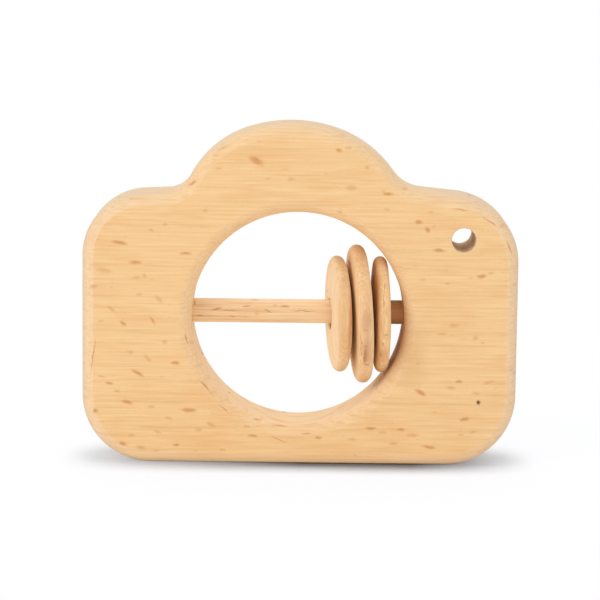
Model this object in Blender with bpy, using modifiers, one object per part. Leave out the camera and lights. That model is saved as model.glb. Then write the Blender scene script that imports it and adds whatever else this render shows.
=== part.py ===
"""Wooden rattle in the outline of a camera, with three loose rings on a dowel.

One rounded-over beech board has a round window. A dowel crosses the window and carries a
small, a large and another small turned ring, which slide and turn on it.

Frame: metres, +Z up. X runs along the width, -Y is the front face, the board stands on its
flat bottom edge on the plane Z = 0, and the origin is under the middle of the object.
"""

from math import asin, atan2, ceil, cos, hypot, pi, radians, sin, sqrt, tan

import bmesh
import bpy
from mathutils import Vector

MM = 0.001

# Board
BODY_WIDTH = 108.4 * MM
BODY_HEIGHT = 85.2 * MM
BODY_THICKNESS = 20.0 * MM
EDGE_ROUNDOVER = 3.0 * MM
BOTTOM_LEFT_RADIUS = 17.0 * MM
BOTTOM_RIGHT_RADIUS = 17.6 * MM
TOP_LEFT_RADIUS = 15.7 * MM
TOP_RIGHT_RADIUS = 17.0 * MM

# Shoulders, each measured at its own side and rising gently towards the hump
LEFT_SHOULDER_BELOW_TOP = 18.2 * MM
RIGHT_SHOULDER_BELOW_TOP = 18.9 * MM
LEFT_SHOULDER_SLOPE = radians(2.7)
RIGHT_SHOULDER_SLOPE = radians(5.9)

# Hump: a flatter crown between two rounder flanks, blended into the shoulders
HUMP_OFFSET = -2.4 * MM
HUMP_CROWN_RADIUS = 35.5 * MM
HUMP_CROWN_HALF_ANGLE = radians(18.0)
HUMP_LEFT_RADIUS = 25.0 * MM
HUMP_RIGHT_RADIUS = 28.8 * MM
HUMP_LEFT_FILLET = 6.6 * MM
HUMP_RIGHT_FILLET = 9.4 * MM

# Window and the small hole beside the hump
WINDOW_RADIUS = 26.5 * MM
WINDOW_OFFSET = -0.5 * MM
WINDOW_CENTRE_HEIGHT = 36.8 * MM
SMALL_HOLE_RADIUS = 3.0 * MM
SMALL_HOLE_FROM_SIDE = 13.85 * MM
SMALL_HOLE_BELOW_SHOULDER = 9.25 * MM

# Dowel
DOWEL_RADIUS = 3.0 * MM
DOWEL_ABOVE_WINDOW_CENTRE = 0.7 * MM
DOWEL_SOCKET_DEPTH = 12.0 * MM
DOWEL_END_CHAMFER = 0.5 * MM

# Turned rings
SMALL_RING_RADIUS = 14.6 * MM
LARGE_RING_RADIUS = 17.4 * MM
RING_THICKNESS = 4.8 * MM
RING_RIM_RADIUS = 1.5 * MM
RING_BORE_RADIUS = 3.9 * MM
RING_BORE_EDGE_RADIUS = 0.6 * MM

# How the loose rings lean on the dowel: yaw turns the left face to the front, and lean
# tips the top to the left
LEFT_RING_YAW = radians(7.5)
LEFT_RING_LEAN = radians(1.2)
MIDDLE_RING_YAW = radians(4.8)
MIDDLE_RING_LEAN = radians(2.9)
RIGHT_RING_YAW = radians(2.5)
RIGHT_RING_LEAN = radians(0.9)

# Clearances
PIECE_GAP = 0.3 * MM

# Facets
FACET_LENGTH = 2.2 * MM
RING_STEPS = 40
DOWEL_SIDES = 24
SMALL_HOLE_SIDES = 24
WINDOW_SIDES = 64
ROUNDOVER_SEGMENTS = 4

# Derived places
HALF_WIDTH = BODY_WIDTH / 2
HALF_THICKNESS = BODY_THICKNESS / 2
DOWEL_HEIGHT = WINDOW_CENTRE_HEIGHT + DOWEL_ABOVE_WINDOW_CENTRE
DOWEL_LEFT_END = WINDOW_OFFSET - WINDOW_RADIUS - DOWEL_SOCKET_DEPTH
DOWEL_RIGHT_END = HALF_WIDTH
BORE_RADIUS = DOWEL_RADIUS + PIECE_GAP
RIGHT_SHOULDER_HEIGHT = BODY_HEIGHT - RIGHT_SHOULDER_BELOW_TOP
LEFT_SHOULDER_HEIGHT = BODY_HEIGHT - LEFT_SHOULDER_BELOW_TOP
SMALL_HOLE_X = HALF_WIDTH - SMALL_HOLE_FROM_SIDE
SMALL_HOLE_HEIGHT = RIGHT_SHOULDER_HEIGHT - SMALL_HOLE_BELOW_SHOULDER


def clear_scene():
    for obj in list(bpy.data.objects):
        bpy.data.objects.remove(obj)
    for group in (bpy.data.meshes, bpy.data.curves, bpy.data.materials, bpy.data.collections):
        for block in list(group):
            group.remove(block)


def new_collection(name):
    collection = bpy.data.collections.new(name)
    bpy.context.scene.collection.children.link(collection)
    return collection


def wood(name, colour, roughness):
    material = bpy.data.materials.new(name)
    material.use_nodes = True
    shader = material.node_tree.nodes["Principled BSDF"]
    shader.inputs["Base Color"].default_value = (*colour, 1.0)
    shader.inputs["Roughness"].default_value = roughness
    shader.inputs["Metallic"].default_value = 0.0
    return material


def arc(centre, radius, start, end):
    """Points from start to end angle, both included."""
    steps = max(2, ceil(abs(end - start) * radius / FACET_LENGTH))
    points = []
    for i in range(steps + 1):
        angle = start + (end - start) * i / steps
        points.append((centre[0] + radius * cos(angle), centre[1] + radius * sin(angle)))
    return points


def polar(centre, radius, angle):
    return (centre[0] + radius * cos(angle), centre[1] + radius * sin(angle))


def angle_to(origin, target):
    return atan2(target[1] - origin[1], target[0] - origin[0])


def shoulder_blend(side_x, shoulder_z, slope, fillet, flank, flank_radius):
    """Centre of the hollow fillet that joins a sloping shoulder to a flank of the hump.

    The fillet touches the shoulder line from above and the flank's circle from outside.
    """
    outward = 1 if side_x > 0 else -1
    normal = Vector((outward * sin(slope), cos(slope)))
    along = Vector((outward * cos(slope), -sin(slope)))
    base = Vector((side_x, shoulder_z)) + normal * fillet
    offset = base - Vector(flank)
    reach = (flank_radius + fillet) ** 2
    forward = along.dot(offset)
    square = forward * forward - offset.length_squared + reach
    centre = base + along * (sqrt(square) - forward)
    return (centre.x, centre.y)


def corner_centre(side_x, shoulder_z, slope, radius):
    """Centre of the round between a side and its sloping shoulder."""
    inward = radius if side_x < 0 else -radius
    rise = radius * tan(slope) - radius / cos(slope)
    return (side_x + inward, shoulder_z + rise)


def body_outline():
    """The camera outline, anticlockwise from the bottom right corner."""
    crown = (HUMP_OFFSET, BODY_HEIGHT - HUMP_CROWN_RADIUS)
    right_join = pi / 2 - HUMP_CROWN_HALF_ANGLE
    left_join = pi / 2 + HUMP_CROWN_HALF_ANGLE
    right_flank = polar(crown, HUMP_CROWN_RADIUS - HUMP_RIGHT_RADIUS, right_join)
    left_flank = polar(crown, HUMP_CROWN_RADIUS - HUMP_LEFT_RADIUS, left_join)
    right_fillet = shoulder_blend(
        HALF_WIDTH, RIGHT_SHOULDER_HEIGHT, RIGHT_SHOULDER_SLOPE,
        HUMP_RIGHT_FILLET, right_flank, HUMP_RIGHT_RADIUS)
    left_fillet = shoulder_blend(
        -HALF_WIDTH, LEFT_SHOULDER_HEIGHT, LEFT_SHOULDER_SLOPE,
        HUMP_LEFT_FILLET, left_flank, HUMP_LEFT_RADIUS)
    top_right = corner_centre(
        HALF_WIDTH, RIGHT_SHOULDER_HEIGHT, RIGHT_SHOULDER_SLOPE, TOP_RIGHT_RADIUS)
    top_left = corner_centre(
        -HALF_WIDTH, LEFT_SHOULDER_HEIGHT, LEFT_SHOULDER_SLOPE, TOP_LEFT_RADIUS)

    points = arc((HALF_WIDTH - BOTTOM_RIGHT_RADIUS, BOTTOM_RIGHT_RADIUS),
                 BOTTOM_RIGHT_RADIUS, -pi / 2, 0)
    points += arc(top_right, TOP_RIGHT_RADIUS, 0, pi / 2 - RIGHT_SHOULDER_SLOPE)
    points += arc(right_fillet, HUMP_RIGHT_FILLET, -pi / 2 - RIGHT_SHOULDER_SLOPE,
                  -pi + angle_to(right_flank, right_fillet))
    points += arc(right_flank, HUMP_RIGHT_RADIUS,
                  angle_to(right_flank, right_fillet), right_join)[1:]
    points += arc(crown, HUMP_CROWN_RADIUS, right_join, pi / 2)[1:]
    points += arc(crown, HUMP_CROWN_RADIUS, pi / 2, left_join)[1:]
    points += arc(left_flank, HUMP_LEFT_RADIUS,
                  left_join, angle_to(left_flank, left_fillet))[1:]
    points += arc(left_fillet, HUMP_LEFT_FILLET, angle_to(left_flank, left_fillet) - pi,
                  -pi / 2 + LEFT_SHOULDER_SLOPE)[1:]
    points += arc(top_left, TOP_LEFT_RADIUS, pi / 2 + LEFT_SHOULDER_SLOPE, pi)
    points += arc((-HALF_WIDTH + BOTTOM_LEFT_RADIUS, BOTTOM_LEFT_RADIUS),
                  BOTTOM_LEFT_RADIUS, pi, 3 * pi / 2)
    return points


def add_loop(curve, points):
    spline = curve.splines.new("POLY")
    spline.points.add(len(points) - 1)
    for point, (x, z) in zip(spline.points, points):
        point.co = (x, z, 0.0, 1.0)
    spline.use_cyclic_u = True


def board_from_outline(name, points, thickness, collection):
    """Sawn board: a flat outline filled and extruded, turned upright, then made a mesh."""
    curve = bpy.data.curves.new(name + "_outline", "CURVE")
    curve.dimensions = "2D"
    curve.fill_mode = "BOTH"
    curve.extrude = thickness / 2
    curve.render_resolution_u = 0
    add_loop(curve, points)
    flat = bpy.data.objects.new(name + "_outline", curve)
    flat.rotation_euler = (pi / 2, 0, 0)
    bpy.context.scene.collection.objects.link(flat)
    bpy.context.view_layer.update()

    evaluated = flat.evaluated_get(bpy.context.evaluated_depsgraph_get())
    mesh = bpy.data.meshes.new_from_object(evaluated)
    mesh.name = name
    upright = flat.matrix_world.copy()
    bpy.data.objects.remove(flat)
    bpy.data.curves.remove(curve)

    bm = bmesh.new()
    bm.from_mesh(mesh)
    bmesh.ops.remove_doubles(bm, verts=bm.verts, dist=0.00001)
    bmesh.ops.dissolve_limit(bm, angle_limit=radians(0.5), verts=bm.verts, edges=bm.edges)
    bmesh.ops.recalc_face_normals(bm, faces=bm.faces)
    bm.to_mesh(mesh)
    bm.free()
    board = bpy.data.objects.new(name, mesh)
    board.matrix_world = upright
    collection.objects.link(board)
    return board


def add_cylinder(name, collection, radius, start, end, sides):
    """Solid rod from start to end."""
    start = Vector(start)
    end = Vector(end)
    mesh = bpy.data.meshes.new(name)
    bm = bmesh.new()
    bmesh.ops.create_cone(bm, cap_ends=True, segments=sides, radius1=radius, radius2=radius,
                          depth=(end - start).length)
    bm.to_mesh(mesh)
    bm.free()
    rod = bpy.data.objects.new(name, mesh)
    rod.location = (start + end) / 2
    rod.rotation_euler = (end - start).to_track_quat("Z", "Y").to_euler()
    collection.objects.link(rod)
    return rod


def add_turned(obj, section, steps, closed):
    """Turn a half section, given as (radius, height) points, round the object's Z axis."""
    bm = bmesh.new()
    verts = [bm.verts.new((r, 0, z)) for r, z in section]
    for start, end in zip(verts, verts[1:]):
        bm.edges.new((start, end))
    if closed:
        bm.edges.new((verts[-1], verts[0]))
    bm.to_mesh(obj.data)
    bm.free()
    turning = obj.modifiers.new("turning", "SCREW")
    turning.axis = "Z"
    turning.angle = 2 * pi
    turning.steps = steps
    turning.render_steps = steps
    turning.screw_offset = 0
    turning.use_merge_vertices = True
    turning.merge_threshold = 0.00001
    turning.use_smooth_shade = True


def window_section():
    """Half section of what the window takes away: a round hole flared at both faces.

    The outermost straight of each flare runs on past the board's face.
    """
    flare = []
    for i in range(1, ROUNDOVER_SEGMENTS + 1):
        angle = pi / 2 + (pi / 2) * i / ROUNDOVER_SEGMENTS
        flare.append(polar((WINDOW_RADIUS + EDGE_ROUNDOVER, HALF_THICKNESS - EDGE_ROUNDOVER),
                           EDGE_ROUNDOVER, angle))
    rim = (WINDOW_RADIUS + EDGE_ROUNDOVER, HALF_THICKNESS)
    past = (2 * rim[0] - flare[0][0], 2 * rim[1] - flare[0][1])
    upper = [(0.0, past[1]), past] + flare
    return upper + [(r, -z) for r, z in reversed(upper)]


def window_cutter(collection):
    cutter = bpy.data.objects.new("window_cutter", bpy.data.meshes.new("window_cutter"))
    cutter.location = (WINDOW_OFFSET, 0, WINDOW_CENTRE_HEIGHT)
    cutter.rotation_euler = (pi / 2, 0, 0)
    collection.objects.link(cutter)
    add_turned(cutter, window_section(), WINDOW_SIDES, closed=False)
    return cutter


def cut(board, cutter):
    cutter.hide_render = True
    cutter.display_type = "WIRE"
    modifier = board.modifiers.new(cutter.name, "BOOLEAN")
    modifier.operation = "DIFFERENCE"
    modifier.solver = "EXACT"
    modifier.object = cutter


def shade_round(obj, angle=radians(35)):
    obj.data.shade_smooth()
    obj.data.set_sharp_from_angle(angle=angle)


def make_body(parts, cutters, material):
    """The board: sawn to its outline, rounded over, then given its window and bores."""
    body = board_from_outline("camera_body", body_outline(), BODY_THICKNESS, parts)
    roundover = body.modifiers.new("roundover", "BEVEL")
    roundover.width = EDGE_ROUNDOVER
    roundover.segments = ROUNDOVER_SEGMENTS
    roundover.limit_method = "ANGLE"
    roundover.angle_limit = radians(60)
    roundover.use_clamp_overlap = False

    cut(body, window_cutter(cutters))
    past_face = HALF_THICKNESS + EDGE_ROUNDOVER
    cut(body, add_cylinder(
        "small_hole_cutter", cutters, SMALL_HOLE_RADIUS,
        (SMALL_HOLE_X, -past_face, SMALL_HOLE_HEIGHT),
        (SMALL_HOLE_X, past_face, SMALL_HOLE_HEIGHT), SMALL_HOLE_SIDES))
    cut(body, add_cylinder(
        "dowel_bore_cutter", cutters, BORE_RADIUS,
        (DOWEL_LEFT_END - PIECE_GAP, 0, DOWEL_HEIGHT),
        (DOWEL_RIGHT_END + EDGE_ROUNDOVER, 0, DOWEL_HEIGHT), DOWEL_SIDES))
    body.data.materials.append(material)
    shade_round(body)
    return body


def make_dowel(parts, material):
    """The dowel: blind in the left wall, flush with the right side of the board."""
    dowel = add_cylinder("axle_dowel", parts, DOWEL_RADIUS,
                         (DOWEL_LEFT_END, 0, DOWEL_HEIGHT),
                         (DOWEL_RIGHT_END, 0, DOWEL_HEIGHT), DOWEL_SIDES)
    chamfer = dowel.modifiers.new("end_chamfer", "BEVEL")
    chamfer.width = DOWEL_END_CHAMFER
    chamfer.segments = 1
    chamfer.limit_method = "ANGLE"
    chamfer.angle_limit = radians(60)
    dowel.data.materials.append(material)
    shade_round(dowel)
    return dowel


def dome_radius(radius):
    """Radius of a ring's shallow face dome, which runs tangent into its round rim."""
    half = RING_THICKNESS / 2
    rim_centre = radius - RING_RIM_RADIUS
    return (rim_centre ** 2 + half ** 2 - RING_RIM_RADIUS ** 2) / (2 * (half - RING_RIM_RADIUS))


def ring_profile(radius):
    """Half section of a turned ring, from the rim's top edge down its outer side.

    Each face is a shallow dome, from the bore's eased edge to a fully round rim.
    """
    half = RING_THICKNESS / 2
    rim_centre = radius - RING_RIM_RADIUS
    dome = dome_radius(radius)
    rim_angle = asin(rim_centre / (dome - RING_RIM_RADIUS))
    edge = RING_BORE_EDGE_RADIUS
    edge_centre_r = RING_BORE_RADIUS + edge
    edge_centre_z = sqrt((dome - edge) ** 2 - edge_centre_r ** 2) - (dome - half)
    edge_angle = asin(edge_centre_r / (dome - edge))

    upper = []
    for i in range(3):
        angle = pi - (pi / 2 + edge_angle) * i / 2
        upper.append(polar((edge_centre_r, edge_centre_z), edge, angle))
    for i in range(1, 4):
        angle = pi / 2 - edge_angle - (rim_angle - edge_angle) * i / 4
        upper.append(polar((0, half - dome), dome, angle))
    for i in range(4):
        angle = (pi / 2 - rim_angle) * (1 - i / 4)
        upper.append(polar((rim_centre, 0), RING_RIM_RADIUS, angle))
    lower = [(r, -z) for r, z in reversed(upper)]
    return upper + [(radius, 0.0)] + lower


def make_ring(name, parts, material, radius, x, yaw, lean):
    """A turned ring hanging on the dowel, with the slide's empty on the dowel's axis."""
    slide = bpy.data.objects.new(name + "_slide", None)
    slide.location = (x, 0, DOWEL_HEIGHT)
    slide.rotation_euler = (0, -lean, 0)
    slide.empty_display_size = DOWEL_RADIUS
    parts.objects.link(slide)

    ring = bpy.data.objects.new(name, bpy.data.meshes.new(name))
    ring.parent = slide
    ring.location = (0, 0, -ring_drop(lean))
    ring.rotation_euler = (0, pi / 2, yaw)
    parts.objects.link(ring)
    add_turned(ring, ring_profile(radius), RING_STEPS, closed=True)
    ring.data.materials.append(material)
    return ring


def ring_drop(lean):
    """How far a leaning ring's centre hangs below the dowel's axis."""
    tip = (RING_THICKNESS / 2) * sin(lean)
    inner_flat = RING_BORE_RADIUS * cos(pi / RING_STEPS)
    return inner_flat - DOWEL_RADIUS - tip - PIECE_GAP


def tilt_between(yaw_a, lean_a, yaw_b, lean_b):
    return hypot(yaw_a - yaw_b, lean_a - lean_b)


def ring_spacing(tilt):
    """Distance between two neighbours' centres: their domes roll on each other as they tilt."""
    rolled = (dome_radius(LARGE_RING_RADIUS) - RING_THICKNESS / 2) * (1 - cos(tilt))
    return RING_THICKNESS + rolled + PIECE_GAP


def right_ring_place():
    """Where the right ring's rim comes to the window's wall, at its foot or at its top."""
    rim_centre = SMALL_RING_RADIUS - RING_RIM_RADIUS
    raised = DOWEL_ABOVE_WINDOW_CENTRE - ring_drop(RIGHT_RING_LEAN)
    flat_wall = WINDOW_RADIUS * cos(pi / WINDOW_SIDES)
    reach = flat_wall - PIECE_GAP - RING_RIM_RADIUS
    turned = 1 + sin(RIGHT_RING_YAW) ** 2
    tall = rim_centre * cos(RIGHT_RING_LEAN)
    aside = rim_centre * sin(RIGHT_RING_LEAN)
    foot = sqrt((reach ** 2 - (tall - raised) ** 2) / turned) - aside
    top = sqrt((reach ** 2 - (tall + raised) ** 2) / turned) + aside
    return WINDOW_OFFSET + min(foot, top)


def make_rings(parts, material):
    right = right_ring_place()
    middle = right - ring_spacing(tilt_between(
        RIGHT_RING_YAW, RIGHT_RING_LEAN, MIDDLE_RING_YAW, MIDDLE_RING_LEAN))
    left = middle - ring_spacing(tilt_between(
        MIDDLE_RING_YAW, MIDDLE_RING_LEAN, LEFT_RING_YAW, LEFT_RING_LEAN))
    make_ring("ring_right", parts, material, SMALL_RING_RADIUS, right,
              RIGHT_RING_YAW, RIGHT_RING_LEAN)
    make_ring("ring_middle", parts, material, LARGE_RING_RADIUS, middle,
              MIDDLE_RING_YAW, MIDDLE_RING_LEAN)
    make_ring("ring_left", parts, material, SMALL_RING_RADIUS, left,
              LEFT_RING_YAW, LEFT_RING_LEAN)


def build():
    clear_scene()
    parts = new_collection("wooden_camera_rattle")
    cutters = new_collection("cutters")
    board_wood = wood("beech_board", (0.84, 0.60, 0.36), 0.55)
    dowel_wood = wood("beech_dowel", (0.78, 0.50, 0.28), 0.50)
    ring_wood = wood("beech_rings", (0.82, 0.56, 0.32), 0.50)
    make_body(parts, cutters, board_wood)
    make_dowel(parts, dowel_wood)
    make_rings(parts, ring_wood)


build()
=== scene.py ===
from math import asin, ceil, cos, pi, radians, sin, sqrt

import bmesh
import bpy
from mathutils import Euler, Matrix, Vector


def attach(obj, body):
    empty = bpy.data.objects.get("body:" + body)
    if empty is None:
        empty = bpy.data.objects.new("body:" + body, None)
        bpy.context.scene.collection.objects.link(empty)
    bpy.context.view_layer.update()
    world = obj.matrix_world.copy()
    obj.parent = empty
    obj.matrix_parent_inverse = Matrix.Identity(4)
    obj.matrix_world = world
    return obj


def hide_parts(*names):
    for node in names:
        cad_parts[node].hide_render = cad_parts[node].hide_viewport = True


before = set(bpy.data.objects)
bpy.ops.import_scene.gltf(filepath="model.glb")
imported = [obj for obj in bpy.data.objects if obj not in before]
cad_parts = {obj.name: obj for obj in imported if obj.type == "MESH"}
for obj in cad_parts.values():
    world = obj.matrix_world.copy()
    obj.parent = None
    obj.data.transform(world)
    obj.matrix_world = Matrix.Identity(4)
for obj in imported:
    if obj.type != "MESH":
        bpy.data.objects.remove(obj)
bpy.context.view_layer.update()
bpy.ops.object.select_all(action="DESELECT")

# ------------------------------------------------------------------ The board
# A beech plank sawn to the outline of a camera, 20 mm thick. Its rims and the window's
# are rounded over with a router, it is bored for the dowel from the right side, and it is
# sanded and oiled. The grain runs across it, from side to side.

MM = 0.001
THICKNESS = 20.0 * MM
ROUNDOVER = 3.0 * MM
ROUNDOVER_STEPS = 12
ROUNDOVER_CREASE = radians(14)                    # where the round meets the flat face
WINDOW = (-0.5 * MM, 36.8 * MM, 26.5 * MM)        # centre x, centre z, radius
SMALL_HOLE = (40.35 * MM, 57.05 * MM, 3.0 * MM)
SMALL_HOLE_EASE = 0.25 * MM
DOWEL_RADIUS = 3.0 * MM
DOWEL_HEIGHT = 37.5 * MM
DOWEL_ENDS = (-39.0 * MM, 54.2 * MM)
BORE_SLACK = 0.04 * MM
BORE_PAST = (0.2 * MM, 1.8 * MM)                  # how far it goes past the dowel's ends
LONG_FACET = 0.7 * MM                             # on the wide arcs
TOUCHING = 0.001 * MM                             # points closer than this are one
OUTLINE_GAP = 0.01 * MM                           # the outline's arcs meet to within this

# The arcs of the outline, anticlockwise from the bottom right corner:
# centre x and z, radius (mm), and the angles they run from and to (degrees)
OUTLINE = [
    (36.6000, 17.6000, 17.6, -90.0, 0.0),           # bottom right corner
    (37.2000, 50.9662, 17.0, 0.0, 84.1),            # top right corner
    (30.8338, 78.1647, 9.4, -95.9, -144.666),       # hollow between shoulder and hump
    (-0.3296, 56.0721, 28.8, 35.334, 72.0),         # right flank of the hump
    (-2.4000, 49.7000, 35.5, 72.0, 108.0),          # crown of the hump
    (-5.6447, 59.6861, 25.0, 108.0, 151.874),       # left flank
    (-33.5130, 74.5829, 6.6, -28.126, -87.3),       # left hollow
    (-38.5000, 52.0229, 15.7, 92.7, 180.0),         # top left corner
    (-37.2000, 17.0000, 17.0, 180.0, 270.0),        # bottom left corner
]


def start_point(name, place):
    """A new mesh of one vertex at a place, left in edit mode with that vertex selected."""
    bpy.ops.mesh.primitive_plane_add(size=MM, location=place)
    obj = bpy.context.object
    obj.name = obj.data.name = name
    bpy.ops.object.transform_apply(location=True, rotation=False, scale=False)
    bpy.ops.object.mode_set(mode="EDIT")
    bpy.ops.mesh.select_all(action="SELECT")
    bpy.ops.mesh.merge(type="CENTER")
    return obj


def line_to(obj, place):
    """Draws a straight edge from the selected vertex to a place."""
    tip = next(v.co.copy() for v in bmesh.from_edit_mesh(obj.data).verts if v.select)
    step = Vector(place) - tip
    if step.length > TOUCHING:
        bpy.ops.mesh.extrude_vertices_move(TRANSFORM_OT_translate={"value": step})


def arc_round(centre, turn, radius, facet):
    """Draws an arc from the selected vertex, anticlockwise as seen from the front."""
    steps = max(3, ceil(abs(turn) * radius / facet))
    bpy.ops.mesh.spin(steps=steps, angle=turn, center=centre, axis=(0, 1, 0))


def turn_whole(steps, centre, axis):
    """Turns the drawn half section once round an axis and closes its seam and poles."""
    bpy.ops.mesh.select_all(action="SELECT")
    bpy.ops.mesh.spin(steps=steps, angle=2 * pi, center=centre, axis=axis)
    bpy.ops.mesh.select_all(action="SELECT")
    bpy.ops.mesh.remove_doubles(threshold=TOUCHING)
    bpy.ops.mesh.dissolve_degenerate(threshold=TOUCHING)
    bpy.ops.mesh.normals_make_consistent(inside=False)
    bpy.ops.object.mode_set(mode="OBJECT")


def cut_away(board, cutter):
    """Takes a cutter's shape out of the board, and puts the cutter away."""
    bpy.ops.object.select_all(action="DESELECT")
    bpy.context.view_layer.objects.active = board
    board.select_set(True)
    boolean = board.modifiers.new(cutter.name, "BOOLEAN")
    boolean.operation = "DIFFERENCE"
    boolean.solver = "EXACT"
    boolean.object = cutter
    bpy.ops.object.modifier_apply(modifier=boolean.name)
    bpy.data.objects.remove(cutter)


def roundover_section(width, steps):
    """How far in and how deep a rounding-over bit cuts, from the wall to the face.

    The bit is set a touch deep, so its arc meets the face in a crease and not tangent.
    """
    radius = width / (1 - sin(ROUNDOVER_CREASE))
    section = []
    for i in range(steps + 1):
        a = pi / 2 - (pi / 2 - ROUNDOVER_CREASE) * i / steps
        section.append((radius * (1 - sin(a)), radius * (cos(ROUNDOVER_CREASE) - cos(a))))
    return section


def flared_cutter(name, x, z, radius, ease, ease_steps, turn_steps):
    """A round cutter along Y that widens at both faces, as a rounding-over bit leaves it."""
    half = THICKNESS / 2
    past = 0.3 * MM
    section = roundover_section(ease, ease_steps)
    wide = x + radius + ease + past / sin(ROUNDOVER_CREASE)
    cutter = start_point(name, (x, -half - past, z))
    line_to(cutter, (wide, -half - past, z))
    for inward, depth in reversed(section):
        line_to(cutter, (x + radius + inward, -half + depth, z))
    for inward, depth in section:
        line_to(cutter, (x + radius + inward, half - depth, z))
    line_to(cutter, (wide, half + past, z))
    line_to(cutter, (x, half + past, z))
    turn_whole(turn_steps, (x, 0, z), (0, 1, 0))
    return cutter


def smooth_rounds(obj, angle):
    """Smooth shading where faces meet at less than an angle, with the flat faces kept flat."""
    bpy.ops.object.select_all(action="DESELECT")
    bpy.context.view_layer.objects.active = obj
    obj.select_set(True)
    bpy.ops.object.shade_smooth_by_angle(angle=angle)
    weighted = obj.modifiers.new("flat_faces", "WEIGHTED_NORMAL")
    weighted.keep_sharp = True
    bpy.ops.object.modifier_apply(modifier=weighted.name)


# The outline is drawn at the depth where the front roundover starts, filled, and pulled to
# the same depth behind. Each big face is then inset in steps that follow the bit's arc.
section = roundover_section(ROUNDOVER, ROUNDOVER_STEPS)
wall_front = -THICKNESS / 2 + section[0][1]
first = Vector((OUTLINE[0][0] * MM, wall_front, 0.0))
board = start_point("camera_board", first)
for x, z, radius, begin, end in OUTLINE:
    x, z, radius, begin, end = x * MM, z * MM, radius * MM, radians(begin), radians(end)
    line_to(board, (x + radius * cos(begin), wall_front, z + radius * sin(begin)))
    arc_round((x, wall_front, z), end - begin, radius, LONG_FACET)
line_to(board, first)
bpy.ops.mesh.select_all(action="SELECT")
bpy.ops.mesh.remove_doubles(threshold=OUTLINE_GAP)
bpy.ops.mesh.edge_face_add()
bpy.ops.mesh.extrude_region_move(TRANSFORM_OT_translate={"value": (0, -2 * wall_front, 0)})
bpy.ops.mesh.select_all(action="SELECT")
bpy.ops.mesh.normals_make_consistent(inside=False)
bpy.ops.mesh.select_mode(type="FACE")
for side in (-1, 1):
    bpy.ops.mesh.select_all(action="DESELECT")
    edit = bmesh.from_edit_mesh(board.data)
    for face in edit.faces:                       # the big face on this side
        face.select_set(face.normal.y * side > 0.9)
    bmesh.update_edit_mesh(board.data)
    for (inward, depth), (next_inward, next_depth) in zip(section, section[1:]):
        bpy.ops.mesh.inset(thickness=next_inward - inward, depth=depth - next_depth,
                           use_even_offset=True)
bpy.ops.mesh.select_mode(type="VERT")
bpy.ops.object.mode_set(mode="OBJECT")

cut_away(board, flared_cutter("window_cutter", *WINDOW, ROUNDOVER,
                              ease_steps=ROUNDOVER_STEPS, turn_steps=200))
cut_away(board, flared_cutter("small_hole_cutter", *SMALL_HOLE, SMALL_HOLE_EASE,
                              ease_steps=3, turn_steps=64))
bore = (DOWEL_ENDS[0] - BORE_PAST[0], DOWEL_ENDS[1] + BORE_PAST[1])
bpy.ops.mesh.primitive_cylinder_add(
    vertices=64, radius=DOWEL_RADIUS + BORE_SLACK, depth=bore[1] - bore[0],
    location=((bore[0] + bore[1]) / 2, 0, DOWEL_HEIGHT), rotation=(0, pi / 2, 0))
cut_away(board, bpy.context.object)
smooth_rounds(board, radians(11))                 # less than the crease, which stays sharp

# Marks that have a place of their own, each a soft ellipse: its x and z, length, height (mm)
# and tilt (degrees). Most are of the wood; the one on the window's wall is a painted shade.
# The flecks are the cut ends of the wood's rays on the front of the board, the dark ones
# with a few fine dashes among them.
DARK_FLECKS = [
    (-11.1, 76.2, 3.9, 1.8, -30), (-44.7, 55.6, 4.0, 1.0, -10), (-40.8, 50.7, 3.1, 1.0, 0),
    (-28.4, 53.1, 3.0, 0.8, 0), (-26.7, 70.5, 3.0, 0.8, 35), (-43.8, 35.4, 1.8, 1.0, -35),
    (-36.5, 36.2, 2.8, 0.5, -60), (-30.8, 25.6, 2.3, 1.0, -3), (-40.1, 22.9, 3.6, 1.1, -30),
    (-47.2, 20.3, 2.0, 0.8, -5), (-42.8, 15.6, 3.0, 1.0, -12), (-27.4, 13.7, 4.1, 1.2, -3),
    (-30.5, 4.9, 1.7, 0.7, 0), (-11.5, 7.4, 2.6, 0.8, -5), (-43.8, 5.0, 2.1, 0.9, -10),
    (-50.7, 13.3, 1.5, 1.3, 0), (-23.3, 19.7, 3.9, 0.5, -47), (21.4, 68.4, 2.5, 0.9, -3),
    (29.0, 61.5, 2.1, 1.1, 0), (31.3, 59.6, 1.7, 1.3, -60), (34.2, 54.5, 3.1, 0.9, -3),
    (44.9, 48.2, 2.5, 1.1, 10), (39.8, 21.7, 1.8, 0.8, 0), (30.3, 18.8, 3.1, 1.2, -30),
    (41.3, 12.2, 2.7, 1.1, 10), (18.0, 9.6, 2.9, 0.9, 0), (25.6, 9.3, 2.2, 0.8, 0),
    (5.0, 7.1, 1.8, 0.7, 0), (32.6, 5.0, 3.6, 0.9, -8), (9.2, 79.0, 1.7, 0.9, 0),
    (-51.3, 27.0, 9.0, 0.35, 82), (39.3, 64.7, 4.6, 0.35, -8), (46.6, 61.8, 4.4, 0.4, -33),
    (51.6, 55.4, 4.6, 0.4, -64), (-28.1, 31.6, 2.6, 0.4, -75), (-18.4, 13.9, 3.6, 0.3, -38),
    (-10.4, 11.3, 2.4, 0.35, -16), (-4.6, 9.7, 4.4, 0.35, -4), (1.9, 8.0, 2.6, 0.4, 0),
    (-4.9, 6.5, 4.4, 0.3, -24),
]
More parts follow.
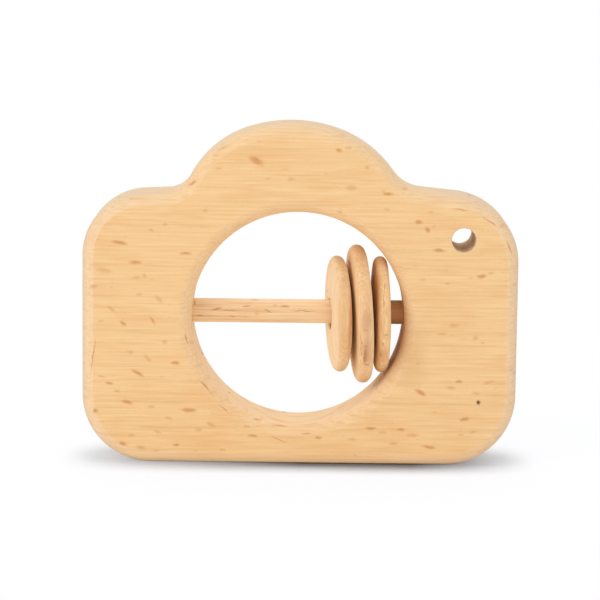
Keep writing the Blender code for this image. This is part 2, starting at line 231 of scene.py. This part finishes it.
PALE_FLECKS = [
    (-48.6, 48.7, 4.0, 1.2, -8), (-38.5, 47.4, 1.5, 1.0, -50), (-36.9, 58.8, 1.6, 0.8, -20),
    (-19.3, 79.2, 3.0, 0.7, 30), (-35.0, 41.6, 2.8, 1.2, -50), (-46.7, 38.9, 2.8, 0.8, -35),
    (-33.5, 30.8, 1.5, 1.2, 0), (-42.0, 28.2, 1.8, 1.0, -5), (-37.7, 26.7, 2.8, 1.1, -45),
    (-49.2, 22.0, 2.3, 0.7, -10), (-45.3, 18.4, 1.8, 0.8, -10), (-36.8, 14.5, 2.0, 1.0, 0),
    (-32.4, 11.6, 2.0, 0.9, -15), (-21.8, 10.1, 2.8, 1.0, -25), (-24.9, 8.7, 2.0, 1.0, 0),
    (-13.0, 9.7, 2.0, 0.8, 0), (-35.1, 8.1, 2.2, 0.8, -20), (-39.3, 4.1, 2.6, 1.1, -10),
    (16.2, 74.9, 1.3, 1.2, 0), (12.4, 69.8, 2.8, 1.4, -5), (38.3, 35.8, 2.3, 1.2, 0),
    (35.3, 33.7, 2.2, 0.9, 0), (43.7, 32.8, 1.4, 1.0, 0), (37.8, 20.1, 2.3, 1.0, 0),
    (47.1, 21.5, 3.2, 0.7, 15), (43.4, 8.9, 1.8, 0.9, 15), (21.0, 8.6, 2.3, 0.8, 0),
    (28.5, 8.0, 3.3, 0.9, 0), (13.4, 6.9, 2.3, 0.8, 0), (23.7, 5.8, 2.3, 0.9, 0),
]
DARK_PORE = [(44.7, 16.5, 1.25, 1.25, 0)]
SMALL_HOLE_WALL = [(40.35, 57.05, 11.0, 11.0, 0)]
# Painted shade, low on the window's right wall where the rings shade it
WINDOW_WALL_PAINTED_SHADE = [(27.5, 28.0, 12.0, 24.0, 0)]

# A set of marks goes with the y where it lies and its depth (mm), its strength and colour.
# The first two tint a stretch of wall: the small hole's is paler, and the window's, low on
# its right, is a painted shade where the rings shade it.
BOARD_MARKS = [
    (SMALL_HOLE_WALL, 1, 10, 0.95, "#ffe6c4"),
    (WINDOW_WALL_PAINTED_SHADE, -3, 10, 0.65, "#bf824c"),
    (DARK_FLECKS, -10, 4, 0.72, "#c98649"),
    (PALE_FLECKS, -10, 4, 0.55, "#d49f62"),
    (DARK_PORE, -10, 4, 1.0, "#5c3204"),
]


def linear(colour):
    """A colour written as sRGB hex, as the linear values that a socket takes."""
    values = [int(colour[i:i + 2], 16) / 255 for i in (1, 3, 5)]
    return [v / 12.92 if v <= 0.04045 else ((v + 0.055) / 1.055) ** 2.4 for v in values] + [1.0]


def add(tree, kind, inputs=None, **settings):
    """Adds one node: its settings by name, its inputs as values or other nodes' outputs."""
    made = tree.nodes.new("ShaderNode" + kind)
    for name, value in settings.items():
        setattr(made, name, value)
    for socket, value in (inputs or {}).items():
        if isinstance(value, bpy.types.NodeSocket):
            tree.links.new(value, made.inputs[socket])
        else:
            made.inputs[socket].default_value = value
    return made


def beech(name, light, dark, marks, grain_turn=(0, 0, 0), place=(0, 0, 0), lines=1.0, figure=1.0,
          ends=0.0, strewn=(0.0, 0.0), rims=(0.0, 0.0), walls=(0.0, 0.0)):
    """Planed, sanded and oiled beech: fine straight lines, short ray flecks, a soft satin.

    light and dark are the wood's two tones, and marks the sets of marks with places of their
    own. grain_turn and place turn and shift the plank that the piece is cut from. The rest
    scale how strongly things show: lines the growth lines, figure the fibres and pores, ends
    the cut ends of the fibres, strewn the strewn flecks, on the front and behind it, rims
    the painted sheen that pales each rim, in the middle and at the two ends, and walls the
    painted light that pales each wall, at the window and outside.
    """
    material = bpy.data.materials.new(name)
    material.use_nodes = True
    tree = material.node_tree
    shader = tree.nodes["Principled BSDF"]
    here = add(tree, "TexCoord")

    # Places in mm, and the same with the grain along X. Slow waves, 50 mm long, 17 mm across
    # and up to 1.6 mm high, keep the lines from running dead straight.
    spot = add(tree, "VectorMath", {0: here.outputs["Object"], "Scale": 1000},
               operation="SCALE").outputs[0]
    grain = add(tree, "Mapping", {"Vector": spot, "Rotation": grain_turn,
                                  "Location": place}).outputs[0]
    slow = add(tree, "Mapping", {"Vector": grain, "Scale": (0.02, 0.06, 0.06)}).outputs[0]
    sway = add(tree, "TexNoise", {"Vector": slow, "Scale": 1.0, "Detail": 2.0}).outputs["Color"]
    swayed = add(tree, "VectorMath", {0: sway, 1: (0, 1.6, 1.6), 2: grain},
                 operation="MULTIPLY_ADD").outputs[0]

    # Growth rings round a pith that lies 45 mm behind and 150 mm below the plank: bands
    # some 5 mm wide, and lines 1 mm apart that come and go every centimetre
    across = add(tree, "VectorMath", {0: swayed, 1: (0, 1, 1)}, operation="MULTIPLY").outputs[0]
    pith = add(tree, "VectorMath", {0: across, 1: (0, 45, -150)},
               operation="DISTANCE").outputs["Value"]
    coarse = add(tree, "Math", {0: pith, 1: 0.22}, operation="MULTIPLY").outputs[0]
    band = add(tree, "TexNoise", {"W": coarse, "Scale": 1.0, "Detail": 3.0, "Roughness": 0.6},
               noise_dimensions="1D").outputs["Fac"]
    fine = add(tree, "Math", {0: pith, 1: 0.95}, operation="MULTIPLY").outputs[0]
    line = add(tree, "TexNoise", {"W": fine, "Scale": 1.0, "Detail": 3.0, "Roughness": 0.6},
               noise_dimensions="1D").outputs["Fac"]
    line = add(tree, "MapRange", {"Value": line, 1: 0.47, 2: 0.80}).outputs[0]
    comes = add(tree, "Mapping", {"Vector": grain, "Scale": (0.09, 0.6, 0.6)}).outputs[0]
    goes = add(tree, "TexNoise", {"Vector": comes, "Scale": 1.0, "Detail": 3.0}).outputs["Fac"]
    shown = add(tree, "MapRange", {"Value": goes, 1: 0.38, 2: 0.66,
                                   3: 0.05 * lines, 4: 0.9 * lines}).outputs[0]
    line = add(tree, "Math", {0: line, 1: shown}, operation="MULTIPLY").outputs[0]

    # Fibres half a millimetre thick and a centimetre long, dark ones and pale ones: the
    # real ones are too fine to show
    drawn = add(tree, "Mapping", {"Vector": grain, "Scale": (0.07, 2.0, 2.0)}).outputs[0]
    fibre = add(tree, "TexNoise", {"Vector": drawn, "Scale": 1.0, "Detail": 2.0,
                                   "Roughness": 0.6}).outputs["Fac"]
    thread = add(tree, "MapRange", {"Value": fibre, 1: 0.50, 2: 0.78,
                                    3: 0.0, 4: 0.55 * figure}).outputs[0]
    pale = add(tree, "MapRange", {"Value": fibre, 1: 0.50, 2: 0.22,
                                  3: 0.0, 4: 0.60 * figure}).outputs[0]

    # Pores: dark dashes under a millimetre long, one in each cell of 2 by 0.7 mm at most,
    # drawn a little thicker than the real ones
    laid = add(tree, "Mapping", {"Vector": grain, "Scale": (0.5, 1.5, 1.5)}).outputs[0]
    pore_cell = add(tree, "TexVoronoi", {"Vector": laid, "Scale": 1.0}, feature="F1")
    pore_lot = add(tree, "SeparateColor", {"Color": pore_cell.outputs["Color"]}).outputs["Green"]
    pore_size = add(tree, "MapRange", {"Value": pore_lot, 1: 0.45, 2: 1.0,
                                       3: 0.0, 4: 0.26}).outputs[0]
    pore = add(tree, "Math", {0: pore_size, 1: pore_cell.outputs["Distance"]},
               operation="SUBTRACT").outputs[0]
    pore = add(tree, "MapRange", {"Value": pore, 1: 0.0, 2: 0.18,
                                  3: 0.0, 4: 0.26 * figure}).outputs[0]

    # Ray flecks: short lenses a couple of mm long, lying along the grain and a little
    # askew, one in each cell of 5.5 by 9 by 2.6 mm at most
    askew = add(tree, "TexNoise", {"Vector": spot, "Scale": 0.9, "Detail": 2.0}).outputs["Color"]
    shaken = add(tree, "VectorMath", {0: askew, 1: (1.3, 0.7, 0.7), 2: grain},
                 operation="MULTIPLY_ADD").outputs[0]
    laid = add(tree, "Mapping", {"Vector": shaken, "Scale": (1 / 5.5, 1 / 9, 1 / 2.6),
                                 "Rotation": (0, 0.12, 0)}).outputs[0]
    fleck_cell = add(tree, "TexVoronoi", {"Vector": laid, "Scale": 1.0}, feature="F1")
    fleck_lot = add(tree, "SeparateColor", {"Color": fleck_cell.outputs["Color"]}).outputs["Red"]
    fleck_size = add(tree, "MapRange", {"Value": fleck_lot, 1: 0.15, 2: 1.0,
                                        3: 0.0, 4: 0.25}).outputs[0]
    fleck = add(tree, "Math", {0: fleck_size, 1: fleck_cell.outputs["Distance"]},
                operation="SUBTRACT").outputs[0]
    fleck = add(tree, "MapRange", {"Value": fleck, 1: 0.0, 2: 0.16},
                interpolation_type="SMOOTHSTEP").outputs[0]
    inward = add(tree, "SeparateXYZ", {"Vector": spot}).outputs["Y"]
    share = add(tree, "MapRange", {"Value": inward, 1: -9.0, 2: 0.0,
                                   3: strewn[0], 4: strewn[1]}).outputs[0]
    fleck = add(tree, "Math", {0: fleck, 1: share}, operation="MULTIPLY").outputs[0]

    # The cut ends of the fibres drink more oil and go darker, from where the fibres meet the
    # surface at 38 degrees to where they meet it squarely
    fibres_run = Euler(grain_turn).to_matrix().transposed() @ Vector((1, 0, 0))
    cut_end = add(tree, "VectorMath", {0: here.outputs["Normal"], 1: fibres_run},
                  operation="DOT_PRODUCT").outputs["Value"]
    cut_end = add(tree, "Math", {0: cut_end}, operation="ABSOLUTE").outputs[0]
    cut_end = add(tree, "MapRange", {"Value": cut_end, 1: 0.62, 2: 1.0, 3: 0.0, 4: ends},
                  interpolation_type="SMOOTHSTEP").outputs[0]

    # Rims and walls are painted paler: a painted sheen, and painted light where they turn away
    # from the front. A rim starts at the crease of the roundover, and its share grows from the
    # middle of the board, |x| below 22 mm, to its two ends, |x| past 46 mm.
    flatness = add(tree, "VectorMath", {0: here.outputs["Normal"], 1: (0, 1, 0)},
                   operation="DOT_PRODUCT").outputs["Value"]
    flatness = add(tree, "Math", {0: flatness}, operation="ABSOLUTE").outputs[0]
    rim = add(tree, "MapRange", {"Value": flatness, 1: 0.985, 2: 0.970}).outputs[0]
    sideways = add(tree, "SeparateXYZ", {"Vector": spot}).outputs["X"]
    sideways = add(tree, "Math", {0: sideways}, operation="ABSOLUTE").outputs[0]
    share = add(tree, "MapRange", {"Value": sideways, 1: 22.0, 2: 46.0,
                                   3: rims[0], 4: rims[1]}).outputs[0]
    rim = add(tree, "Math", {0: rim, 1: share}, operation="MULTIPLY").outputs[0]

    # A wall begins 18 degrees from flat and is full at 75; there the wood is painted paler, as
    # painted light. Its share and colour change from the window's wall, within 29 mm of its
    # middle, to the outer one, past 50 mm. In the window the share falls from z 46 to 60 mm.
    painted_wall_light = add(tree, "MapRange", {"Value": flatness, 1: 0.95, 2: 0.25}).outputs[0]
    in_plane = add(tree, "VectorMath", {0: spot, 1: (1, 0, 1)}, operation="MULTIPLY").outputs[0]
    outward = add(tree, "VectorMath", {0: in_plane, 1: (WINDOW[0] / MM, 0, WINDOW[1] / MM)},
                  operation="DISTANCE").outputs["Value"]
    outward = add(tree, "MapRange", {"Value": outward, 1: 29.0, 2: 50.0}).outputs[0]
    upward = add(tree, "SeparateXYZ", {"Vector": spot}).outputs["Z"]
    share = add(tree, "MapRange", {"Value": upward, 1: 46.0, 2: 60.0,
                                   3: walls[0], 4: 0.1 * walls[0]}).outputs[0]
    share = add(tree, "MapRange", {"Value": outward, 3: share, 4: walls[1]}).outputs[0]
    painted_wall_light = add(tree, "Math", {0: painted_wall_light, 1: share}, operation="MULTIPLY").outputs[0]
    painted_wall_light_colour = add(tree, "Mix", {0: outward, 6: linear("#ffe5be"), 7: linear("#dcc7ad")},
                      data_type="RGBA").outputs[2]

    # Patches of 14 by 5 mm where the wood took up the oil a little more
    patch = add(tree, "Mapping", {"Vector": grain, "Scale": (0.07, 0.2, 0.2)}).outputs[0]
    patch = add(tree, "TexNoise", {"Vector": patch, "Scale": 1.0, "Detail": 2.0}).outputs["Fac"]
    patch = add(tree, "MapRange", {"Value": patch, 1: 0.48, 2: 0.75, 3: 0.0, 4: 0.6}).outputs[0]

    # Colour, from the widest change to the smallest
    wood = add(tree, "Mix", {0: band, 6: linear(light), 7: linear(dark)},
               data_type="RGBA").outputs[2]
    for share, colour in (
            (patch, linear("#eab67d")), (rim, linear("#efcfa9")), (painted_wall_light, painted_wall_light_colour),
            (line, linear("#cf9d66")), (thread, linear("#d09c64")), (pale, linear("#ffe3b8")),
            (cut_end, linear("#b0713a")), (pore, linear("#9a622f")), (fleck, linear("#c98a4e"))):
        wood = add(tree, "Mix", {0: share, 6: wood, 7: colour}, data_type="RGBA").outputs[2]

    # The marks with places of their own: within a set, the nearest ellipse counts. It has
    # faded out at 0.68 of its length and height from its middle. The noise that makes its
    # edge wobble is 0.5 on average, so its middle moves by half the wobble with it.
    faded = 0.68
    wobble = (0.8, 0.6, 0.6)
    wobbly = add(tree, "VectorMath", {0: askew, 1: wobble, 2: spot},
                 operation="MULTIPLY_ADD").outputs[0]
    for ellipses, y, depth, strength, colour in marks:
        near = None
        for x, z, length, height, tilt in ellipses:
            centre = Vector((x, y, z)) + Vector(wobble) / 2
            far = add(tree, "Mapping", {"Vector": wobbly, "Location": centre,
                                        "Rotation": (0, radians(-tilt), 0),
                                        "Scale": (faded * length, depth, faded * height)},
                      vector_type="TEXTURE").outputs[0]
            far = add(tree, "VectorMath", {0: far}, operation="LENGTH").outputs["Value"]
            near = far if near is None else add(tree, "Math", {0: near, 1: far},
                                                operation="MINIMUM").outputs[0]
        mark = add(tree, "MapRange", {"Value": near, 1: 1.0, 2: 0.2, 3: 0.0, 4: strength},
                   interpolation_type="SMOOTHSTEP").outputs[0]
        wood = add(tree, "Mix", {0: mark, 6: wood, 7: linear(colour)},
                   data_type="RGBA").outputs[2]
    tree.links.new(wood, shader.inputs["Base Color"])

    # The fibres stand up by a few hundredths of a millimetre, and the pale ones are smoother
    bump = add(tree, "Bump", {"Height": fibre, "Strength": 0.25, "Distance": 0.04 * MM}).outputs[0]
    tree.links.new(bump, shader.inputs["Normal"])
    rough = add(tree, "MapRange", {"Value": fibre, 1: 0.2, 2: 0.8, 3: 0.58, 4: 0.72}).outputs[0]
    tree.links.new(rough, shader.inputs["Roughness"])
    shader.inputs["IOR"].default_value = 1.5
    shader.inputs["Specular IOR Level"].default_value = 0.3
    return material


board.data.materials.clear()
board.data.materials.append(
    beech("beech_board_sanded_oiled", "#f4cc95", "#ebc088", BOARD_MARKS, lines=0.55, figure=0.5,
          ends=0.12, strewn=(0.35, 0.85), rims=(0.2, 0.6), walls=(0.65, 0.6)))
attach(board, "board")
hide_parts("camera_body")

# ------------------------------------------------------------------ The dowel
# A 6 mm beech dowel rod, glued in: blind in the left wall of the window, and cut flush
# where it comes out of the right side. Its grain runs along it, with darker streaks.

bpy.ops.mesh.primitive_cylinder_add(
    vertices=72, radius=DOWEL_RADIUS, depth=DOWEL_ENDS[1] - DOWEL_ENDS[0],
    location=((DOWEL_ENDS[0] + DOWEL_ENDS[1]) / 2, 0, DOWEL_HEIGHT), rotation=(0, pi / 2, 0))
dowel = bpy.context.object
dowel.name = dowel.data.name = "crossing_dowel"
bpy.ops.object.transform_apply(location=True, rotation=True, scale=True)
bpy.ops.object.mode_set(mode="EDIT")
bpy.ops.mesh.select_mode(type="EDGE")
bpy.ops.mesh.select_all(action="DESELECT")
edit = bmesh.from_edit_mesh(dowel.data)
for edge in edit.edges:                           # the edges round its two ends
    edge.select = abs(edge.verts[0].co.x - edge.verts[1].co.x) < 0.1 * MM
bmesh.update_edit_mesh(dowel.data)
bpy.ops.mesh.bevel(offset_type="OFFSET", offset=0.4 * MM, segments=4, profile=0.5,
                   affect="EDGES", clamp_overlap=False)
bpy.ops.mesh.select_mode(type="VERT")
bpy.ops.object.mode_set(mode="OBJECT")
smooth_rounds(dowel, radians(40))

# Its marks: painted light along its top, dark streaks on the front, and a painted shade on
# the stretch past the rings, where the rings and the window's wall shade it
DOWEL_TOP_PAINTED_LIGHT = [(-9.0, 40.4, 46.0, 1.8, 0)]
DOWEL_STREAKS = [
    (-25.1, 36.5, 2.0, 0.35, -8), (-20.9, 38.2, 3.0, 0.6, 12), (-17.4, 38.0, 4.5, 0.3, 0),
    (-13.4, 39.0, 2.6, 0.35, 5), (-8.0, 37.9, 2.2, 0.35, -25), (-3.8, 39.1, 2.4, 0.6, 0),
    (0.8, 38.0, 6.5, 0.35, -1), (-16.9, 36.3, 2.0, 0.3, -10), (-26.4, 39.6, 0.5, 1.4, 0),
]
DOWEL_PAST_RINGS_PAINTED_SHADE = [(25.5, 37.5, 12.0, 14.0, 0)]
DOWEL_MARKS = [
    (DOWEL_TOP_PAINTED_LIGHT, -1, 4, 0.55, "#ffe6c4"),
    (DOWEL_STREAKS, -3, 4, 0.6, "#a86a34"),
    (DOWEL_PAST_RINGS_PAINTED_SHADE, -3, 4, 0.8, "#cf8c4e"),
]

# Within the window its top and underside are painted paler (walls): painted light from above and
# from the floor
dowel.data.materials.clear()
dowel.data.materials.append(
    beech("beech_dowel_sanded", "#f8d5a8", "#ebc192", DOWEL_MARKS, grain_turn=(0.9, 0, 0),
          place=(31, 12, -40), ends=0.4, strewn=(0.7, 0.7), walls=(1.0, 0.0)))
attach(dowel, "board")
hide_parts("axle_dowel")

# ------------------------------------------------------------------ The rings
# Three loose beech rings, turned with shallow domed faces and a fully round rim: small,
# large, small. They hang on the dowel, each leaning its own way, with the grain upright.

RING_THICKNESS = 4.8 * MM
RING_BORE = 3.9 * MM
BORE_EASE = 0.6 * MM
BORE_FACET = 0.15 * MM
RIM_FACET = 0.25 * MM

# The marks on the front of each rim: patches of another tone, upright streaks, and short
# dashes across them. The right ring's are a painted shade on its left face, where the large
# ring shades it, a darker foot, painted light on its top, and then its streaks.
LEFT_RING_MARKS = [
    ([(10.9, 49.6, 9.5, 3.0, 88), (12.4, 35.0, 20.0, 0.9, 88)], -13, 5, 0.8, "#dd9f6c"),
    ([(10.4, 36.0, 30.0, 3.0, 90)], -13, 5, 0.35, "#d79f63"),
    ([(10.3, 48.3, 0.35, 1.8, 90), (11.0, 46.9, 0.35, 1.8, 90), (9.7, 50.6, 4.5, 0.3, 84)],
     -13, 4, 0.5, "#b67a48"),
]
LARGE_RING_MARKS = [
    ([(16.5, 37.8, 7.0, 2.6, 90), (16.6, 29.9, 10.0, 2.4, 90)], -16, 5, 0.85, "#d2a27a"),
    ([(15.5, 53.2, 4.5, 0.8, 95), (16.2, 28.6, 6.0, 1.0, 86), (16.3, 35.5, 0.35, 1.8, 90),
      (16.4, 31.4, 0.4, 1.6, 90), (16.7, 26.3, 0.5, 1.6, 90), (15.1, 31.5, 7.0, 0.3, 93)],
     -15, 4, 0.65, "#aa7039"),
]
RIGHT_RING_MARKS = [
    # Painted shade on the left face, where the large ring shades it
    ([(19.1, 39.0, 28.0, 2.4, 90)], -11, 5, 0.5, "#b46a34"),
    ([(20.6, 28.0, 5.0, 4.0, 90)], -13, 5, 0.5, "#cf9263"),
    # Painted light on the top
    ([(20.8, 50.0, 4.5, 5.0, 0)], -4, 9, 0.5, "#ffdfb2"),
    ([(21.4, 51.3, 4.6, 0.9, 110), (20.9, 45.6, 2.2, 0.4, 85), (21.1, 48.4, 1.6, 0.3, 95),
      (20.6, 31.5, 1.0, 0.6, 90), (20.1, 28.5, 1.2, 0.5, 80), (21.3, 33.8, 0.4, 1.4, 90),
      (20.6, 41.5, 5.0, 0.3, 91)], -13, 4, 0.55, "#a56b38"),
]

# Name, CAD node, body, radius and rim radius, x on the dowel and hang below it (mm), yaw
# and lean (degrees), the wood's two tones, how dark its cut ends are, how strongly painted
# light pales its faces, and its marks
RINGS = [
    ("small_ring_left", "ring_left", "left_ring", 14.6, 1.6, 9.656, 0.538, 7.5, 1.2,
     "#edc692", "#e1b784", 0.3, 0.75, LEFT_RING_MARKS),
    ("large_ring", "ring_middle", "middle_ring", 17.4, 1.9, 14.973, 0.467, 4.8, 2.9,
     "#f0c691", "#e0b07c", 0.25, 0.4, LARGE_RING_MARKS),
    ("small_ring_right", "ring_right", "right_ring", 14.6, 1.6, 20.271, 0.550, 2.5, 0.9,
     "#f8d09b", "#e6b77c", 0.15, 0.1, RIGHT_RING_MARKS),
]


def turned_ring(name, radius, rim_radius):
    """A ring lying flat round the origin: its half section drawn in arcs, then turned."""
    half = RING_THICKNESS / 2
    rim = radius - rim_radius
    dome = (rim ** 2 + half ** 2 - rim_radius ** 2) / (2 * (half - rim_radius))
    rim_turn = asin(rim / (dome - rim_radius))
    edge_x = RING_BORE + BORE_EASE
    edge_z = sqrt((dome - BORE_EASE) ** 2 - edge_x ** 2) - (dome - half)
    edge_turn = asin(edge_x / (dome - BORE_EASE))

    ring = start_point(name, (RING_BORE, 0, -edge_z))
    arc_round((edge_x, 0, -edge_z), pi / 2 + edge_turn, BORE_EASE, BORE_FACET)
    arc_round((0, 0, dome - half), rim_turn - edge_turn, dome, LONG_FACET)
    arc_round((rim, 0, 0), pi - 2 * rim_turn, rim_radius, RIM_FACET)
    arc_round((0, 0, half - dome), rim_turn - edge_turn, dome, LONG_FACET)
    arc_round((edge_x, 0, edge_z), pi / 2 + edge_turn, BORE_EASE, BORE_FACET)
    line_to(ring, (RING_BORE, 0, -edge_z))
    turn_whole(steps=128, centre=(0, 0, 0), axis=(0, 0, 1))
    return ring


for number, (name, node, body, radius, rim_radius, x, hang, yaw, lean,
             light, dark, ends, faces, marks) in enumerate(RINGS):
    ring = turned_ring(name, radius * MM, rim_radius * MM)
    ring.matrix_world = (Matrix.Translation((x * MM, 0, DOWEL_HEIGHT))
                         @ Matrix.Rotation(radians(-lean), 4, "Y")
                         @ Matrix.Translation((0, 0, -hang * MM))
                         @ Matrix.Rotation(radians(yaw), 4, "Z")
                         @ Matrix.Rotation(pi / 2, 4, "Y"))
    bpy.ops.object.transform_apply(location=True, rotation=True, scale=True)
    smooth_rounds(ring, radians(40))
    ring.data.materials.clear()
    ring.data.materials.append(
        beech("beech_turned_" + name, light, dark, marks,
              grain_turn=(0, pi / 2, 0.03 * number - 0.03),
              place=(17 + 40 * number, 13 * number - 9, 5 - 21 * number),
              lines=0.3, figure=0.9, ends=ends, strewn=(0.4, 0.4), walls=(faces, 0.0)))
    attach(ring, body)
    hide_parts(node)

# ------------------------------------------------------------------ The floor and the white room
# A pale matt floor in a white room, whose walls give most of the light. Away from the
# board the camera sees the floor as white as the room, and near it the floor's own shade.

FLOOR_SIZE = 6.0
GLOW = 0.76

bpy.ops.mesh.primitive_plane_add(size=FLOOR_SIZE, location=(0, 0, 0))
floor = bpy.context.object
floor.name = floor.data.name = "floor"
painted = bpy.data.materials.new("pale_matt_floor")
painted.use_nodes = True
tree = painted.node_tree
tree.nodes.remove(tree.nodes["Principled BSDF"])
here = add(tree, "TexCoord").outputs["Object"]
seen = add(tree, "LightPath").outputs["Is Camera Ray"]

# How far the board's shade is held back, from 0 to 1: towards its left end and its right
# corner, and more past the two ends
along = add(tree, "SeparateXYZ", {"Vector": here}).outputs["X"]
left = add(tree, "MapRange", {"Value": along, 1: 0.0, 2: -0.050, 3: 0.0, 4: 0.68}).outputs[0]
right = add(tree, "MapRange", {"Value": along, 1: 0.028, 2: 0.050, 3: 0.0, 4: 0.58}).outputs[0]
aside = add(tree, "Math", {0: along}, operation="ABSOLUTE").outputs[0]
beyond = add(tree, "MapRange", {"Value": aside, 1: 0.050, 2: 0.066, 3: 0.0, 4: 0.40},
             interpolation_type="SMOOTHSTEP").outputs[0]
paler = add(tree, "Math", {0: left, 1: right}, operation="ADD").outputs[0]
paler = add(tree, "Math", {0: paler, 1: beyond}, operation="ADD").outputs[0]
kept = add(tree, "Math", {0: 1.0, 1: paler}, operation="SUBTRACT").outputs[0]

# The shade is darkest where the board hides the room within 12 mm, and a glow that only the
# camera sees lifts the rest of the floor to white
open_room = add(tree, "AmbientOcclusion", {"Distance": 0.012}, samples=8).outputs["AO"]
lit = add(tree, "MapRange", {"Value": open_room, 1: 0.52, 2: 0.97}).outputs[0]
shade = add(tree, "Math", {0: 1.0, 1: lit}, operation="SUBTRACT").outputs[0]
shade = add(tree, "Math", {0: shade, 1: kept}, operation="MULTIPLY").outputs[0]
lit = add(tree, "Math", {0: 1.0, 1: shade}, operation="SUBTRACT").outputs[0]
lift = add(tree, "Math", {0: seen, 1: lit}, operation="MULTIPLY").outputs[0]
lift = add(tree, "Math", {0: lift, 1: GLOW}, operation="MULTIPLY").outputs[0]
paint = add(tree, "Mix", {0: seen, 6: linear("#fafafa"), 7: linear("#86888f")},
            data_type="RGBA").outputs[2]
matt = add(tree, "BsdfDiffuse", {"Color": paint}).outputs[0]
glow = add(tree, "Emission", {"Color": (1, 1, 1, 1), "Strength": lift}).outputs[0]
near_floor = add(tree, "AddShader", {0: matt, 1: glow}).outputs[0]

# From 75 to 160 mm away the camera's floor turns plain white
oval = add(tree, "Mapping", {"Vector": here, "Scale": (1.0, 1.35, 1.0)}).outputs[0]
away = add(tree, "VectorMath", {0: oval}, operation="LENGTH").outputs["Value"]
open_floor = add(tree, "MapRange", {"Value": away, 1: 0.075, 2: 0.16},
                 interpolation_type="SMOOTHSTEP").outputs[0]
plain = add(tree, "Math", {0: seen, 1: open_floor}, operation="MULTIPLY").outputs[0]
white = add(tree, "Emission", {"Color": (1, 1, 1, 1), "Strength": 1.0}).outputs[0]
both = add(tree, "MixShader", {0: plain, 1: near_floor, 2: white}).outputs[0]
tree.links.new(both, tree.nodes["Material Output"].inputs["Surface"])
floor.data.materials.append(painted)

# The room is plain white to the camera and a little less bright as a light
world = bpy.data.worlds.new("white_room")
world.use_nodes = True
bpy.context.scene.world = world
tree = world.node_tree
room = tree.nodes["Background"]
seen = add(tree, "LightPath").outputs["Is Camera Ray"]
level = add(tree, "MapRange", {"Value": seen, 3: 0.90, 4: 1.0}).outputs[0]
room.inputs["Color"].default_value = (1, 1, 1, 1)
tree.links.new(level, room.inputs["Strength"])

# ------------------------------------------------------------------ The lamps
# Three weak soft boxes give the light a direction: the main one at the upper left, one over
# the right shoulder, and one above and behind, which lights the top of the hump.

LAMP_DISTANCE = 0.9
LAMP_SIZE = 0.5
LAMP_AIM = Vector((0, 0, 0.04))                   # the middle of the board


def soft_box(name, azimuth, elevation, power):
    """A square area lamp aimed at the board, its angles in degrees; azimuth 0 is in front."""
    a, e = radians(azimuth), radians(elevation)
    away = Vector((sin(a) * cos(e), -cos(a) * cos(e), sin(e)))
    bpy.ops.object.light_add(type="AREA", location=LAMP_AIM + away * LAMP_DISTANCE)
    lamp = bpy.context.object
    lamp.name = lamp.data.name = name
    lamp.rotation_euler = away.to_track_quat("Z", "Y").to_euler()
    lamp.data.size = LAMP_SIZE
    lamp.data.energy = power
    lamp.visible_camera = False


soft_box("left_soft_box", -48, 24, 1.45)
soft_box("right_soft_box", 40, 50, 0.3)
soft_box("back_soft_box", 180, 60, 0.55)

# ------------------------------------------------------------------ The camera
# A long lens in front of the board and a little above it. It looks slightly down, and is
# level to within a degree.

CAMERA_DOWN = radians(8.285)
CAMERA_ROLL = radians(0.65)

bpy.ops.object.camera_add(location=(0, -0.6448, 0.1342))
camera = bpy.context.object
camera.name = camera.data.name = "camera_view"
camera.data.lens = 155.4
camera.data.sensor_width = 36.0
camera.data.clip_start = 0.01
camera.rotation_euler = (Matrix.Rotation(pi / 2 - CAMERA_DOWN, 4, "X")
                         @ Matrix.Rotation(CAMERA_ROLL, 4, "Z")).to_euler()
bpy.context.scene.camera = camera
bpy.context.scene.view_settings.view_transform = "Standard"
